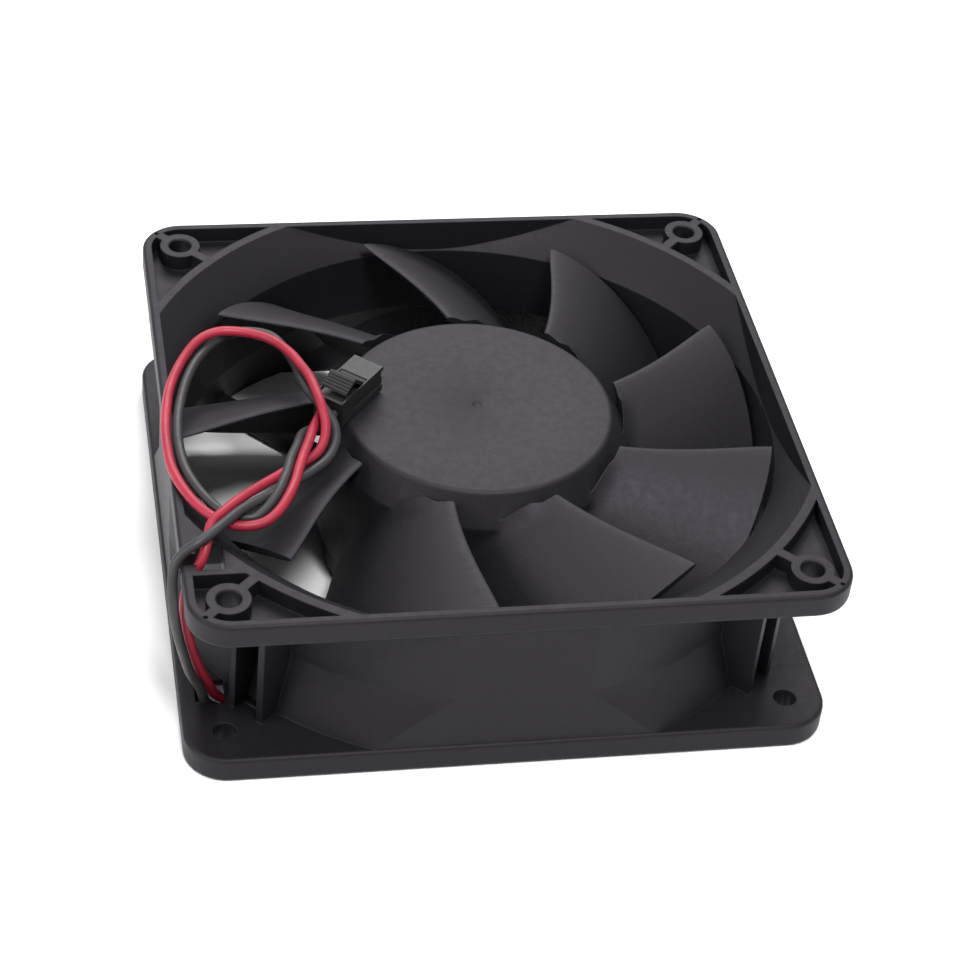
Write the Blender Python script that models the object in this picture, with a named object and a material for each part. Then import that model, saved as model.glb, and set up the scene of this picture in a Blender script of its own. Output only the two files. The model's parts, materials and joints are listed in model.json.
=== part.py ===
"""Square-framed axial cooling fan, 120 x 120 x 38 mm: open-corner moulded frame,
nine-blade impeller, external-rotor brushless motor on two ball bearings, and a
two-core lead with a latching two-way connector.

Frame of the model: origin at the centre of the exhaust face on the rotor axis,
+Z towards the intake face (the side of the plain hub cap), lengths below in mm.
"""

import math

import bmesh
import bpy
from mathutils import Matrix, Vector

MM = 0.001

# ---------------------------------------------------------------- dimensions
SIDE = 120.0  # square frame, edge to edge
DEPTH = 38.0  # intake face to exhaust face
CORNER_R = 8.0
HOLE_PITCH = 105.0
HOLE_R = 2.15
BOSS_R = 4.0
TOP_FLANGE = 5.0
BOTTOM_FLANGE = 5.3
POCKET = 3.3  # depth of the cored-out corner pockets
RIM = 1.8  # wall around the pockets
LIP_IN, LIP_OUT = 65.5, 67.3  # ring round the mouth of the duct
THROAT_R = 58.0
INNER_FLAT = 58.2
SIDE_PANEL = 59.5
DUCT_R = 60.8
INTAKE_FLARE, EXHAUST_FLARE = 7.0, 17.0
RIB_OFF, RIB_T, RIB_END = 3.2, 1.4, 68.5  # pairs of ribs in the open corners

TIP_R = 56.9
HUB_TOP = 36.4
HUB_LOW = 7.6
CAP_R = 26.1
SKIRT_R = 29.5
SKIRT_Z = 30.2
BLADES = 9
BLADE_T = 1.7

SHAFT_R = 1.95
BALL_RING_R, BALL_R, BALLS = 3.8, 0.55, 7
LOW_BEARING, HIGH_BEARING, BEARING_W = 3.1, 25.0, 4.0

LEAD_R = 0.95
PLUG_LEN, PLUG_W, PLUG_H = 14.0, 6.4, 4.6
PLUG_AT = (-24.0, 2.6)  # middle of the connector, in plan
PLUG_TURN = 50.0  # its axis, from the wires to the mouth
PLUG_Z = HUB_TOP + 0.35


# ------------------------------------------------------------------ helpers
for old in list(bpy.data.objects):
    bpy.data.objects.remove(old, do_unlink=True)


def material(name, colour, roughness, metallic=0.0):
    m = bpy.data.materials.new(name)
    m.use_nodes = True
    shader = m.node_tree.nodes["Principled BSDF"]
    shader.inputs["Base Color"].default_value = (*colour, 1.0)
    shader.inputs["Roughness"].default_value = roughness
    shader.inputs["Metallic"].default_value = metallic
    m.diffuse_color = (*colour, 1.0)
    return m


def solid(name, points, faces, mat=None):
    """One object from points in mm and faces, with its faces turned outwards."""
    mesh = bpy.data.meshes.new(name)
    bm = bmesh.new()
    made = [bm.verts.new(Vector(p) * MM) for p in points]
    for f in faces:
        bm.faces.new([made[i] for i in f])
    bmesh.ops.recalc_face_normals(bm, faces=bm.faces)
    bm.to_mesh(mesh)
    bm.free()
    obj = bpy.data.objects.new(name, mesh)
    bpy.context.scene.collection.objects.link(obj)
    if mat:
        mesh.materials.append(mat)
    return obj


def lathe(name, profile, n, mat=None, phase=0.0):
    """A closed (r, z) outline turned about Z. A point at r = 0 lies on the axis."""
    points, rings = [], []
    for r, z in profile:
        if r == 0:
            rings.append([len(points)] * n)
            points.append((0, 0, z))
        else:
            rings.append(list(range(len(points), len(points) + n)))
            for k in range(n):
                a = math.tau * (k + phase) / n
                points.append((r * math.cos(a), r * math.sin(a), z))
    faces = []
    for i, ring in enumerate(rings):
        other = rings[(i + 1) % len(rings)]
        for k in range(n):
            j = (k + 1) % n
            face = []
            for v in (ring[k], ring[j], other[j], other[k]):
                if v not in face:
                    face.append(v)
            if len(face) > 2:
                faces.append(face)
    return solid(name, points, faces, mat)


def tube(name, r0, r1, z0, z1, n, mat=None, phase=0.0):
    return lathe(name, [(r0, z0), (r1, z0), (r1, z1), (r0, z1)], n, mat, phase)


def disc(name, r, z0, z1, n, mat=None, at=(0, 0)):
    obj = lathe(name, [(0, z0), (r, z0), (r, z1), (0, z1)], n, mat)
    move(obj, (at[0], at[1], 0))
    return obj


def prism(name, outline, z0, z1, mat=None):
    n = len(outline)
    points = [(x, y, z0) for x, y in outline] + [(x, y, z1) for x, y in outline]
    faces = [list(range(n)), list(range(n, 2 * n))]
    faces += [[k, (k + 1) % n, n + (k + 1) % n, n + k] for k in range(n)]
    return solid(name, points, faces, mat)


def block(name, x, y, z, mat=None):
    return prism(name, [(x[0], y[0]), (x[1], y[0]), (x[1], y[1]), (x[0], y[1])], z[0], z[1], mat)


def rounded(half, r, n=6):
    """Outline of a rounded square."""
    out = []
    for q in range(4):
        cx, cy = ((1, 1), (-1, 1), (-1, -1), (1, -1))[q]
        for k in range(n + 1):
            a = math.radians(90 * (q + k / n))
            out.append((cx * (half - r) + r * math.cos(a), cy * (half - r) + r * math.sin(a)))
    return out


def move(obj, offset=(0, 0, 0), turn=0.0, axis="Z"):
    """Turns about the origin and then shifts the mesh itself."""
    obj.data.transform(Matrix.Translation(Vector(offset) * MM) @ Matrix.Rotation(math.radians(turn), 4, axis))
    return obj


def combine(a, b, how):
    """Boolean of a with b, kept as a's mesh; b goes."""
    step = a.modifiers.new(how, "BOOLEAN")
    step.operation = how
    step.solver = "EXACT"
    step.object = b
    graph = bpy.context.evaluated_depsgraph_get()
    made = bpy.data.meshes.new_from_object(a.evaluated_get(graph))
    a.modifiers.clear()
    a.data = made
    bpy.data.objects.remove(b, do_unlink=True)
    return a


def cut(a, *tools):
    for tool in tools:
        combine(a, tool, "DIFFERENCE")
    return a


def join(a, *others):
    for other in others:
        combine(a, other, "UNION")
    return a


def smooth(obj, angle=35):
    obj.data.shade_smooth()
    obj.data.set_sharp_from_angle(angle=math.radians(angle))
    return obj


def dress(obj, mat):
    obj.data.materials.clear()
    obj.data.materials.append(mat)
    return obj


# ---------------------------------------------------------------- materials
black_plastic = material("frame_plastic", (0.022, 0.022, 0.026), 0.55)
rotor_plastic = material("impeller_plastic", (0.024, 0.024, 0.028), 0.6)
steel = material("steel", (0.55, 0.55, 0.56), 0.35, 1.0)
zinc_steel = material("yoke_steel", (0.5, 0.51, 0.52), 0.4, 1.0)
brass = material("brass", (0.72, 0.53, 0.24), 0.35, 1.0)
silicon_steel = material("lamination", (0.32, 0.33, 0.35), 0.5, 1.0)
ferrite = material("ferrite", (0.05, 0.048, 0.047), 0.7)
copper = material("enamelled_copper", (0.6, 0.22, 0.08), 0.35, 0.9)
nylon = material("natural_nylon", (0.75, 0.73, 0.66), 0.5)
laminate = material("green_laminate", (0.03, 0.16, 0.07), 0.45)
epoxy = material("epoxy", (0.02, 0.02, 0.02), 0.5)
ceramic = material("ceramic_chip", (0.45, 0.33, 0.2), 0.5)
label_film = material("label_film", (0.62, 0.63, 0.64), 0.4)
red_pvc = material("red_insulation", (0.55, 0.045, 0.08), 0.45)
black_pvc = material("black_insulation", (0.045, 0.047, 0.047), 0.45)
plug_nylon = material("plug_nylon", (0.02, 0.02, 0.022), 0.4)
tinned = material("tinned_brass", (0.7, 0.68, 0.6), 0.3, 1.0)

# -------------------------------------------------------------------- frame
HALF = SIDE / 2
HOLE = HOLE_PITCH / 2
CORNERS = [(1, 1, 0), (-1, 1, 90), (-1, -1, 180), (1, -1, 270)]

frame = prism("fan_frame", rounded(HALF, CORNER_R, 7), DEPTH - TOP_FLANGE, DEPTH)
bottom = prism("bottom_flange", rounded(HALF, CORNER_R, 7), 0.0, BOTTOM_FLANGE)
duct = lathe(
    "duct",
    [(40.0, 1.0), (66.0, 1.0), (64.9, BOTTOM_FLANGE - 0.3), (DUCT_R, EXHAUST_FLARE), (DUCT_R, DEPTH - 1.0), (40.0, DEPTH - 1.0)],
    72,
)
combine(duct, block("panel", (-SIDE_PANEL, SIDE_PANEL), (-SIDE_PANEL, SIDE_PANEL), (-2, 40)), "INTERSECT")
join(frame, bottom, duct)
for sx, sy, turn in CORNERS:
    for side in (-1, 1):
        y = side * RIB_OFF
        rib = block("rib", (59.0, RIB_END), (y - RIB_T / 2, y + RIB_T / 2), (BOTTOM_FLANGE - 1, DEPTH - TOP_FLANGE + 1))
        join(frame, move(rib, turn=turn + 45))

bore = lathe(
    "bore",
    [
        (0, -1.0),
        (LIP_IN + 0.44, -1.0),
        (THROAT_R, EXHAUST_FLARE),
        (THROAT_R, DEPTH - INTAKE_FLARE),
        (LIP_IN + 1.07, DEPTH + 1.0),
        (0, DEPTH + 1.0),
    ],
    72,
)
combine(bore, block("flats", (-INNER_FLAT, INNER_FLAT), (-INNER_FLAT, INNER_FLAT), (-3, 42)), "INTERSECT")
cut(frame, bore)


def pocket(turn, z0, z1, wire_wall=False):
    """Cutter for the cored pocket of one corner, leaving the screw boss and its webs."""
    inner, r = HALF - RIM, CORNER_R - RIM
    outline = [(30.0, 30.0), (inner, 30.0)]
    for k in range(6):
        a = math.radians(90 * k / 5)
        outline.append((inner - r + r * math.cos(a), inner - r + r * math.sin(a)))
    outline.append((30.0, inner))
    tool = prism("pocket", outline, z0, z1)
    cut(
        tool,
        disc("ring", LIP_OUT, z0 - 1, z1 + 1, 72),
        disc("boss", BOSS_R, z0 - 1, z1 + 1, 20, at=(HOLE, HOLE)),
        move(block("web", (60.0, 84.0), (-1.0, 1.0), (z0 - 1, z1 + 1)), turn=45),
    )
    move(tool, turn=turn)
    if wire_wall:
        cut(tool, block("wire_wall", (-62, -30), (-46.2, -30), (z0 - 2, z1 + 2)))
    return tool


for sx, sy, turn in CORNERS:
    notched = turn == 180
    cut(frame, pocket(turn, DEPTH - POCKET, DEPTH + 1, notched))
    cut(frame, pocket(turn, -1.0, POCKET, notched))
    cut(frame, disc("hole", HOLE_R, -2, DEPTH + 2, 20, at=(sx * HOLE, sy * HOLE)))

# Wire passage at one corner: a hole with a ledge in the intake flange, a slot
# through its rim, and a hole in the exhaust flange under it.
NOTCH_X = (-57.3, -52.4)
cut(
    frame,
    block("ledge", NOTCH_X, (-45.0, -37.9), (DEPTH - POCKET, DEPTH + 1)),
    block("top_notch", NOTCH_X, (-42.6, -37.9), (DEPTH - TOP_FLANGE - 1, DEPTH + 1)),
    block("rim_slot", (-62.0, -56.5), (-43.4, -40.6), (DEPTH - TOP_FLANGE - 1, DEPTH + 1)),
    block("bottom_notch", (-57.0, -51.6), (-45.2, -39.2), (-1.0, BOTTOM_FLANGE + 1)),
)

# Motor base on the exhaust side, carried by four struts; the one towards the
# wire passage is wider and channelled on its outer face.
BASE_Z, BASE_TOP, BASE_R = 0.8, 3.2, 28.2
STRUT_TOP = 5.6
base = lathe(
    "base",
    [(7.35, 1.2), (24.2, 1.2), (24.2, BASE_Z), (BASE_R, BASE_Z), (BASE_R, 6.3), (26.4, 6.3), (26.4, BASE_TOP), (9.4, BASE_TOP), (9.4, 6.2), (7.35, 6.2)],
    48,
)
for turn, w in ((45, 3.2), (135, 3.2), (225, 7.4), (315, 3.2)):
    outline = [(w * 0.5, 1.0), (w * 0.5, STRUT_TOP - 1.0), (w * 0.28, STRUT_TOP), (-w * 0.28, STRUT_TOP), (-w * 0.5, STRUT_TOP - 1.0), (-w * 0.5, 1.0)]
    points = [(27.4, y, z) for y, z in outline] + [(66.4, y, z) for y, z in outline]
    faces = [list(range(6)), list(range(6, 12))] + [[k, (k + 1) % 6, 6 + (k + 1) % 6, 6 + k] for k in range(6)]
    join(base, move(solid("strut", points, faces), turn=turn))
join(frame, base)
CHANNEL = 2.35
cut(
    frame,
    move(block("channel", (20.6, 66.0), (-CHANNEL, CHANNEL), (-1.0, 3.9)), turn=225),
    block("lip_gap", (-55.0, -39.5), (-44.6, -37.0), (-1.0, 3.9)),
)
smooth(dress(frame, black_plastic))

# ----------------------------------------------------------------- impeller
hub = lathe(
    "impeller",
    [
        (0, HUB_TOP),
        (CAP_R - 0.6, HUB_TOP),
        (CAP_R - 0.1, HUB_TOP - 0.3),
        (CAP_R + 0.1, HUB_TOP - 0.8),
        (SKIRT_R, SKIRT_Z),
        (SKIRT_R, HUB_LOW),
        (26.8, HUB_LOW),
        (26.8, 29.9),
        (23.9, 33.9),
        (0, 33.9),
    ],
    64,
)


def edge_angle(t):
    """Leading edge, degrees from the tip's own angle, for t from the hub to the tip."""
    return -12.5 * (1 - t) ** 1.25


def blade_point(t, s):
    """Middle surface of a blade: t along the span, s from the leading edge down."""
    r = 28.6 + (TIP_R - 28.6) * t
    start = 22.0 - 8.0 * t  # slope of the blade at the leading edge
    finish = 74.0 - 14.0 * t  # and at the trailing edge
    drop = 26.8 - 1.0 * t
    steps = 24
    length, fall = [0.0], [0.0]
    for k in range(steps):
        b = math.radians(start + (finish - start) * (k + 0.5) / steps)
        length.append(length[-1] + math.cos(b))
        fall.append(fall[-1] + math.sin(b))
    scale = drop / fall[-1]
    x = s * steps
    k = min(int(x), steps - 1)
    f = x - k
    arc = (length[k] + (length[k + 1] - length[k]) * f) * scale
    low = (fall[k] + (fall[k + 1] - fall[k]) * f) * scale
    return r, math.radians(edge_angle(t)) - arc / r, HUB_TOP - 0.9 - 0.4 * t - low


def blade(name, turn):
    spans = [0.0, 0.2, 0.4, 0.6, 0.8, 1.0]
    chords = [0.0, 0.06, 0.2, 0.4, 0.6, 0.8, 0.95, 1.0]
    thick = [0.35, 0.75, 1.0, 1.0, 0.95, 0.85, 0.6, 0.35]
    sheets = []
    for side in (1, -1):
        sheet = []
        for t in spans:
            row = []
            for s, w in zip(chords, thick):
                r, a, z = blade_point(t, s)
                r2, a2, z2 = blade_point(t, min(s + 0.02, 1.0))
                r1, a1, z1 = blade_point(t, max(s - 0.02, 0.0))
                da, dz = (a2 - a1) * r, z2 - z1
                size = math.hypot(da, dz)
                off = side * BLADE_T * (1.15 - 0.3 * t) * w / 2
                a += off * (-dz / size) / r
                z += off * (da / size)
                a += math.radians(turn)
                row.append((r * math.cos(a), r * math.sin(a), z))
            sheet.append(row)
        sheets.append(sheet)
    rows, cols = len(spans), len(chords)
    points = [p for sheet in sheets for row in sheet for p in row]

    def at(side, i, j):
        return side * rows * cols + i * cols + j

    faces = []
    for side in (0, 1):
        for i in range(rows - 1):
            for j in range(cols - 1):
                faces.append([at(side, i, j), at(side, i + 1, j), at(side, i + 1, j + 1), at(side, i, j + 1)])
    for i in range(rows - 1):
        for j in (0, cols - 1):
            faces.append([at(0, i, j), at(0, i + 1, j), at(1, i + 1, j), at(1, i, j)])
    for j in range(cols - 1):
        for i in (0, rows - 1):
            faces.append([at(0, i, j), at(0, i, j + 1), at(1, i, j + 1), at(1, i, j)])
    return solid(name, points, faces)


TIP_ANGLE = -15.0
for k in range(BLADES):
    join(hub, blade("blade", TIP_ANGLE + 360 / BLADES * k))
smooth(dress(hub, rotor_plastic))

# ------------------------------------------------------------ rotating parts
yoke = smooth(
    lathe("rotor_yoke", [(3.3, 32.5), (23.2, 32.5), (25.4, 29.4), (25.4, 8.8), (26.5, 8.8), (26.5, 29.8), (23.7, 33.6), (3.3, 33.6)], 36, zinc_steel)
)
magnet = smooth(tube("magnet_ring", 22.4, 25.0, 10.0, 28.6, 36, ferrite))
shaft = smooth(
    lathe(
        "rotor_shaft",
        [(0, 1.5), (SHAFT_R - 0.2, 1.5), (SHAFT_R, 1.7), (SHAFT_R, 1.85), (1.45, 1.85), (1.45, 2.45), (SHAFT_R, 2.45), (SHAFT_R, 33.3), (0, 33.3)],
        24,
        steel,
    )
)
insert = smooth(lathe("shaft_insert", [(2.05, 31.3), (3.0, 31.3), (3.0, 33.8), (2.05, 33.8)], 24, brass))
clip = tube("retaining_clip", 1.6, 3.1, 1.95, 2.35, 24)
dress(cut(clip, block("clip_gap", (0.6, 4.0), (-0.8, 0.8), (1, 3))), steel)
washer = smooth(tube("thrust_washer", 2.1, 3.2, 2.55, 2.85, 24, nylon))

spring_curve = bpy.data.curves.new("preload_spring", "CURVE")
spring_curve.dimensions = "3D"
spring_curve.bevel_depth = 0.2 * MM
spring_curve.bevel_resolution = 0
spring_curve.use_fill_caps = True
spring_curve.render_resolution_u = 0
coil_line = spring_curve.splines.new("POLY")
SPRING_POINTS = 37
coil_line.points.add(SPRING_POINTS - 1)
for k in range(SPRING_POINTS):
    a = math.tau * 2.6 * k / (SPRING_POINTS - 1)
    z = 29.35 + 1.55 * k / (SPRING_POINTS - 1)
    coil_line.points[k].co = (2.6 * math.cos(a) * MM, 2.6 * math.sin(a) * MM, z * MM, 1)
spring = bpy.data.objects.new("preload_spring", spring_curve)
bpy.context.scene.collection.objects.link(spring)
spring_curve.materials.append(steel)

# ----------------------------------------------------------------- bearings
for where, z in (("lower", LOW_BEARING), ("upper", HIGH_BEARING)):
    top = z + BEARING_W
    smooth(tube(f"bearing_{where}_inner_ring", 2.05, 3.1, z, top, 24, steel))
    smooth(tube(f"bearing_{where}_outer_ring", 4.5, 5.5, z, top, 24, steel))
    for face, z0 in (("outer" if where == "lower" else "inner", z + 0.1), ("inner" if where == "lower" else "outer", top - 0.35)):
        smooth(tube(f"bearing_{where}_{face}_shield", 3.2, 4.38, z0, z0 + 0.25, 24, steel))
    middle = z + BEARING_W / 2
    cage = tube(f"bearing_{where}_balls", 3.62, 3.98, middle - 0.28, middle + 0.28, 21)
    for k in range(BALLS):
        a = math.tau * k / BALLS
        ball = []
        for j in range(6):
            b = -math.pi / 2 + math.pi * j / 5
            ball.append((0 if j in (0, 5) else BALL_R * math.cos(b), BALL_R * math.sin(b)))
        one = lathe("ball", ball, 6)
        move(one, (BALL_RING_R * math.cos(a), BALL_RING_R * math.sin(a), middle))
        join(cage, one)
    smooth(dress(cage, steel), 60)

bearing_tube = smooth(
    lathe("bearing_tube", [(5.65, 1.6), (7.2, 1.6), (7.2, 30.0), (5.65, 30.0), (5.65, 24.8), (4.9, 24.8), (4.9, 7.3), (5.65, 7.3)], 24, brass)
)

# ------------------------------------------------------------------- stator


def lamination(name, z0, z1, hub_r, arm, shoe_in, shoe_out, gap, mat):
    body = tube(name, 7.4, hub_r, z0, z1, 24)
    for turn in (0, 90, 180, 270):
        join(body, move(block("arm", (8.6, shoe_out - 0.8), (-arm / 2, arm / 2), (z0, z1)), turn=turn))
    ring = tube("shoes", shoe_in, shoe_out, z0, z1, 36)
    for turn in (45, 135, 225, 315):
        cut(ring, move(block("slot", (12, 30), (-gap / 2, gap / 2), (z0 - 1, z1 + 1)), turn=turn))
    join(body, ring)
    return smooth(dress(body, mat))


lamination("stator_core", 14.3, 24.3, 10.5, 5.0, 19.4, 21.6, 4.4, silicon_steel)
lamination("stator_insulator_lower", 12.6, 14.1, 10.9, 5.6, 19.2, 21.3, 4.8, nylon)
lamination("stator_insulator_upper", 24.5, 26.0, 10.9, 5.6, 19.2, 21.3, 4.8, nylon)


def rect_ring(half, z0, z1, r, n=3):
    out = []
    for q, (cx, cz) in enumerate(((half - r, z1 - r), (-half + r, z1 - r), (-half + r, z0 + r), (half - r, z0 + r))):
        for k in range(n + 1):
            a = math.radians(90 * (q + k / n))
            out.append((cx + r * math.cos(a), cz + r * math.sin(a)))
    return out


for k in range(4):
    outer, inner = rect_ring(6.0, 10.2, 28.4, 2.2), rect_ring(3.1, 12.35, 26.25, 0.4)
    n = len(outer)
    points = []
    for x in (11.3, 17.8):
        points += [(x, t, z) for t, z in outer] + [(x, t, z) for t, z in inner]
    faces = []
    for i in range(n):
        j = (i + 1) % n
        faces += [[i, j, n + j, n + i], [2 * n + i, 2 * n + j, 3 * n + j, 3 * n + i]]
        faces += [[i, j, 2 * n + j, 2 * n + i], [n + i, n + j, 3 * n + j, 3 * n + i]]
    smooth(move(solid(f"coil_{k + 1}", points, faces, copper), turn=90 * k))

# ---------------------------------------------------- circuit board and label
PCB = (6.55, 8.15)
tube_board = tube("circuit_board", 7.7, 25.0, PCB[0], PCB[1], 36)
dress(cut(tube_board, move(block("board_notch", (22.5, 27), (-3, 3), (5, 9)), turn=225)), laminate)
dress(move(block("driver_chip", (13.0, 19.0), (-3.6, 3.6), (4.6, 6.45)), turn=0), epoxy)
dress(move(block("hall_sensor", (18.4, 20.8), (-2.0, 2.0), (8.25, 9.6)), turn=45), epoxy)
dress(move(block("board_capacitor", (14.0, 17.2), (-1.3, 1.3), (4.7, 6.45)), turn=80), ceramic)
dress(move(block("protection_diode", (14.0, 18.6), (-1.4, 1.4), (4.3, 6.45)), turn=130), epoxy)
dress(move(block("board_resistor", (14.0, 17.2), (-0.9, 0.9), (5.6, 6.45)), turn=300), ceramic)
smooth(disc("rear_label", 23.6, 0.8, 1.1, 36, label_film))

# ------------------------------------------------------- two-core lead, coiled
# Each core runs from the motor base through the channelled strut and the wire
# passage, lies in a loop on the intake face and ends inside the connector.
U = (math.cos(math.radians(PLUG_TURN)), math.sin(math.radians(PLUG_TURN)))
V = (-U[1], U[0])
BORE, BORE_W = 1.25, 2.3


def in_plug(u, v, w):
    return (PLUG_AT[0] + u * U[0] + v * V[0], PLUG_AT[1] + u * U[1] + v * V[1], PLUG_Z + w)


RED_ROUTE = [
    (-15.7, -14.2, 5.6), (-16.2, -14.8, 4.2), (-18.1, -16.6, 2.6), (-21.2, -19.8, 2.2), (-29.0, -27.5, 2.2),
    (-36.1, -34.6, 2.2), (-39.8, -38.0, 2.2), (-43.6, -40.4, 2.2), (-48.5, -41.2, 2.2), (-51.6, -41.4, 2.6),
    (-53.6, -41.6, 4.6), (-54.6, -41.9, 7.5), (-56.5, -42.7, 12.5), (-58.0, -43.5, 18.5), (-59.0, -43.9, 24.0),
    (-59.3, -43.4, 29.0), (-58.4, -42.0, 33.0), (-57.4, -41.9, 35.0), (-56.1, -41.2, 37.1), (-55.2, -39.2, 38.9),
    (-54.0, -35.5, 40.5), (-51.5, -33.0, 41.1), (-48.8, -30.1, 41.0), (-44.8, -25.8, 40.0), (-40.9, -21.7, 38.9),
    (-38.9, -19.6, 38.4), (-35.7, -17.4, 38.2), (-32.7, -15.2, 38.7), (-31.1, -12.5, 39.7), (-30.6, -9.8, 41.1),
    (-31.0, -6.6, 42.7), (-31.6, -3.0, 43.3), (-32.2, 1.4, 43.1), (-33.2, 6.6, 42.0), (-35.0, 12.2, 41.2),
    (-38.3, 16.9, 40.9), (-43.0, 19.2, 40.9), (-47.8, 19.5, 41.0), (-51.8, 17.6, 40.5), (-55.3, 13.0, 39.3),
    (-58.1, 5.6, 39.0), (-59.5, -2.3, 39.0), (-60.0, -8.2, 39.0), (-60.0, -13.0, 39.0), (-59.7, -17.6, 39.0),
    (-58.5, -22.6, 39.0), (-56.7, -27.2, 39.0), (-54.5, -30.8, 39.0), (-51.4, -33.8, 39.0), (-47.8, -35.0, 39.0),
    (-44.4, -34.4, 39.2), (-41.6, -32.2, 39.9), (-39.5, -28.9, 40.5), (-38.0, -25.4, 40.7), (-36.9, -21.8, 40.7),
    (-35.6, -17.8, 40.6), (-34.0, -13.3, 40.3), (-32.7, -9.0, 39.6), (-31.4, -5.7, 39.1),
    in_plug(-8.3, BORE, BORE_W), in_plug(-6.6, BORE, BORE_W), in_plug(-3.2, BORE, BORE_W),
]
BLACK_ROUTE = [
    (-14.2, -15.7, 5.6), (-14.8, -16.2, 4.2), (-16.6, -18.1, 2.6), (-19.8, -21.2, 2.2), (-27.5, -29.0, 2.2),
    (-34.6, -36.1, 2.2), (-38.6, -40.1, 2.2), (-43.0, -42.8, 2.2), (-48.5, -43.4, 2.2), (-53.0, -43.6, 2.5),
    (-55.3, -43.7, 4.6), (-56.2, -43.7, 8.0), (-58.2, -44.5, 13.0), (-59.5, -45.3, 18.5), (-60.6, -46.0, 24.0),
    (-61.4, -46.0, 30.0), (-61.5, -44.0, 34.6), (-60.9, -42.2, 37.3), (-59.2, -41.4, 39.3), (-56.8, -40.6, 40.6),
    (-53.8, -38.5, 41.3), (-51.0, -35.6, 41.3), (-48.6, -33.1, 41.2), (-45.4, -29.8, 40.2), (-42.6, -26.8, 38.9),
    (-40.0, -24.3, 38.3), (-37.2, -21.9, 38.0), (-34.2, -19.4, 37.8), (-31.0, -16.2, 37.8), (-29.0, -12.4, 38.5),
    (-28.8, -8.9, 39.8), (-30.3, -5.5, 41.2), (-31.9, -1.8, 41.1), (-33.0, 2.2, 40.6), (-33.6, 7.6, 39.7),
    (-34.7, 14.0, 39.0), (-37.4, 20.2, 38.9), (-42.6, 22.2, 38.8), (-47.0, 20.6, 38.8), (-50.6, 16.6, 38.8),
    (-53.4, 11.5, 38.9), (-55.6, 5.0, 39.0), (-57.2, -2.4, 39.0), (-57.8, -8.3, 39.0), (-57.8, -13.1, 39.0),
    (-57.2, -18.4, 39.0), (-55.8, -23.2, 39.0), (-54.0, -27.2, 39.0), (-51.8, -30.6, 39.0), (-49.2, -32.3, 39.0),
    (-46.2, -32.7, 39.0), (-43.8, -31.1, 39.5), (-41.5, -28.2, 40.4), (-40.1, -25.1, 40.8), (-39.0, -22.0, 40.6),
    (-38.0, -18.4, 40.3), (-36.4, -14.3, 39.8), (-35.3, -10.6, 38.8), (-34.2, -8.0, 37.7), (-32.6, -6.6, 37.1),
    (-30.9, -6.4, 37.1), (-29.3, -6.0, 37.9), in_plug(-8.3, -BORE, BORE_W), in_plug(-6.6, -BORE, BORE_W), in_plug(-3.2, -BORE, BORE_W),
]


def smooth_route(points, step, per=12):
    """A Catmull-Rom curve through the points, cut into equal steps."""
    dense = []
    for i in range(len(points) - 1):
        p0, p1, p2, p3 = (Vector(points[min(max(i + k, 0), len(points) - 1)]) for k in (-1, 0, 1, 2))
        for k in range(per):
            t = k / per
            dense.append(0.5 * (2 * p1 + (p2 - p0) * t + (2 * p0 - 5 * p1 + 4 * p2 - p3) * t * t + (3 * p1 - p0 - 3 * p2 + p3) * t ** 3))
    dense.append(Vector(points[-1]))
    length = [0.0]
    for a, b in zip(dense, dense[1:]):
        length.append(length[-1] + (b - a).length)
    count = round(length[-1] / step)
    out, j = [], 0
    for k in range(count + 1):
        want = length[-1] * k / count
        while j < len(length) - 2 and length[j + 1] < want:
            j += 1
        f = (want - length[j]) / max(length[j + 1] - length[j], 1e-9)
        out.append(dense[j].lerp(dense[j + 1], min(f, 1.0)))
    return out


def lead(name, route, mat):
    curve = bpy.data.curves.new(name, "CURVE")
    curve.dimensions = "3D"
    curve.bevel_depth = LEAD_R * MM
    curve.bevel_resolution = 2
    curve.use_fill_caps = True
    curve.render_resolution_u = 0
    line = curve.splines.new("POLY")
    points = smooth_route(route[:-2], 3.8) + [Vector(p) for p in route[-2:]]
    line.points.add(len(points) - 1)
    for spot, p in zip(line.points, points):
        spot.co = (*(p * MM), 1)
    curve.materials.append(mat)
    obj = bpy.data.objects.new(name, curve)
    bpy.context.scene.collection.objects.link(obj)
    return obj


lead("lead_red", RED_ROUTE, red_pvc)
lead("lead_black", BLACK_ROUTE, black_pvc)

# ---------------------------------------------------------------- connector


def place(obj, pivot=None):
    """From the connector's own axes to the model's; a pivot becomes its origin."""
    obj.data.transform(Matrix.Translation(Vector((*PLUG_AT, PLUG_Z)) * MM) @ Matrix.Rotation(math.radians(PLUG_TURN), 4, "Z"))
    if pivot:
        obj.data.transform(Matrix.Translation(-Vector(pivot) * MM))
        obj.location = Vector(pivot) * MM
    return obj


def side_profile(name, outline, v0, v1, mat=None):
    """A (u, w) outline carried across the connector from v0 to v1."""
    n = len(outline)
    points = [(u, v0, w) for u, w in outline] + [(u, v1, w) for u, w in outline]
    faces = [list(range(n)), list(range(n, 2 * n))]
    faces += [[k, (k + 1) % n, n + (k + 1) % n, n + k] for k in range(n)]
    return solid(name, points, faces, mat)


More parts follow.
